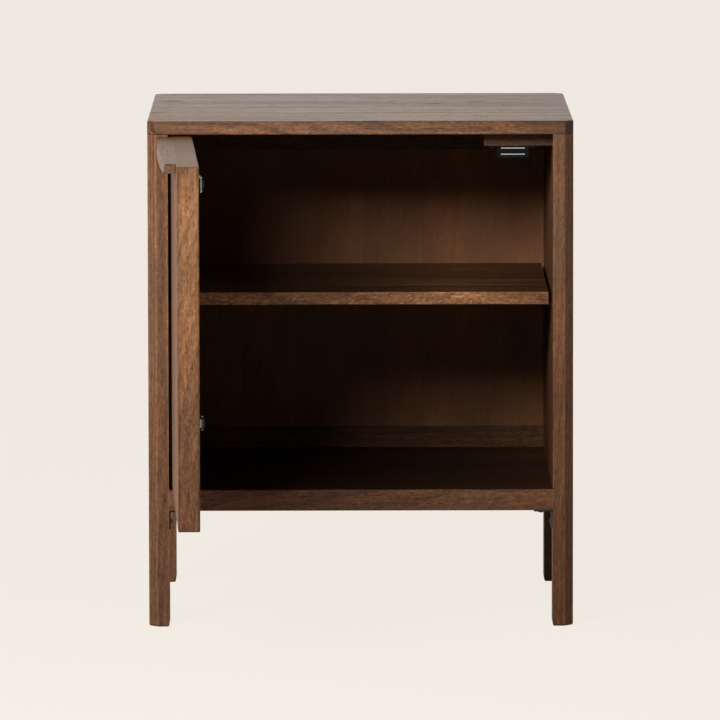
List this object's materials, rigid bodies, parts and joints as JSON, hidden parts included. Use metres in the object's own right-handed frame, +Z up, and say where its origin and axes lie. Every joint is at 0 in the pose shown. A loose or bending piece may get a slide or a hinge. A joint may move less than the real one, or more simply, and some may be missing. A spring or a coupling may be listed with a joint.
{
  "type": "storage side table",
  "caption": "Square wooden side table with an enclosed cabinet: four legs, a loose inner shelf, and a side-hung door on concealed hinges with a finger pull and a magnetic catch.",
  "frame": {"origin": "on the floor, under the middle of the case (the open door isn't counted)", "axes": "+X to the right seen from the front, +Y from the front to the back, +Z up"},
  "size_m": [0.5, 0.8832, 0.5975],
  "materials": {
    "case_wood": "matt brown stain and lacquer",
    "top_wood": "matt brown stain and lacquer",
    "shelf_wood": "matt brown stain and lacquer",
    "back_wood": "matt brown stain",
    "door_wood": "matt brown stain and lacquer",
    "dowel_wood": "bare beech",
    "peg_steel": "zinc plated",
    "bracket_steel": "black zinc plating",
    "dark_screw_steel": "black zinc plating",
    "screw_steel": "zinc plated",
    "catch_plastic": "moulded, satin",
    "magnet_ferrite": "sintered ferrite",
    "plated_steel": "nickel plated",
    "hinge_steel": "nickel plated"
  },
  "bodies": {
    "case": {"leg_front_left": "case_wood", "leg_front_right": "case_wood", "leg_back_left": "case_wood", "leg_back_right": "case_wood", "side_board_left": "case_wood", "side_board_right": "case_wood", "bottom_board": "case_wood", "back_rail_lower": "case_wood", "back_rail_upper": "case_wood", "catch_cleat": "case_wood", "top_panel": "top_wood", "shelf": "shelf_wood", "back_panel": "back_wood", "side_dowels": "dowel_wood", "bottom_dowels": "dowel_wood", "top_dowels": "dowel_wood", "rail_dowels": "dowel_wood", "cleat_dowels": "dowel_wood", "shelf_pegs": "peg_steel", "corner_bracket_front_left": "bracket_steel", "corner_bracket_front_right": "bracket_steel", "corner_bracket_back_left": "bracket_steel", "corner_bracket_back_right": "bracket_steel", "bracket_screws": "dark_screw_steel", "catch_screws": "screw_steel", "hinge_plate_screws": "screw_steel", "hinge_arm_screws": "screw_steel", "catch_housing": "catch_plastic", "catch_magnet": "magnet_ferrite", "catch_pole_plates": "plated_steel", "hinge_arm_lower": "hinge_steel", "hinge_arm_upper": "hinge_steel", "hinge_plate_lower": "hinge_steel", "hinge_plate_upper": "hinge_steel", "hinge_arm_pins": "hinge_steel"},
    "door": {"door_board": "door_wood", "door_pull": "door_wood", "pull_dowels": "dowel_wood", "strike_plate": "plated_steel", "strike_screws": "screw_steel", "hinge_cup_lower": "hinge_steel", "hinge_cup_upper": "hinge_steel", "hinge_cup_pins": "hinge_steel", "hinge_cup_screws": "screw_steel"},
    "hinge_links": {"hinge_link_lower": "hinge_steel", "hinge_link_upper": "hinge_steel"}
  },
  "joints": [
    {"name": "door_hinge", "type": "hinge", "parent": "case", "child": "door", "pos_m": [-0.2158, -0.2185, 0.37325], "axis": [0, 0, -1], "range_deg": [-88, 4]},
    {"name": "hinge_link_turn", "type": "hinge", "parent": "door", "child": "hinge_links", "pos_m": [-0.20255, -0.21984, 0.37325], "axis": [0, 0, -1], "range_deg": [-6.5, 126.5]}
  ],
  "couplings": [
    {"joint": "hinge_link_turn", "follows": "door_hinge", "ratio": -1.4329}
  ]
}
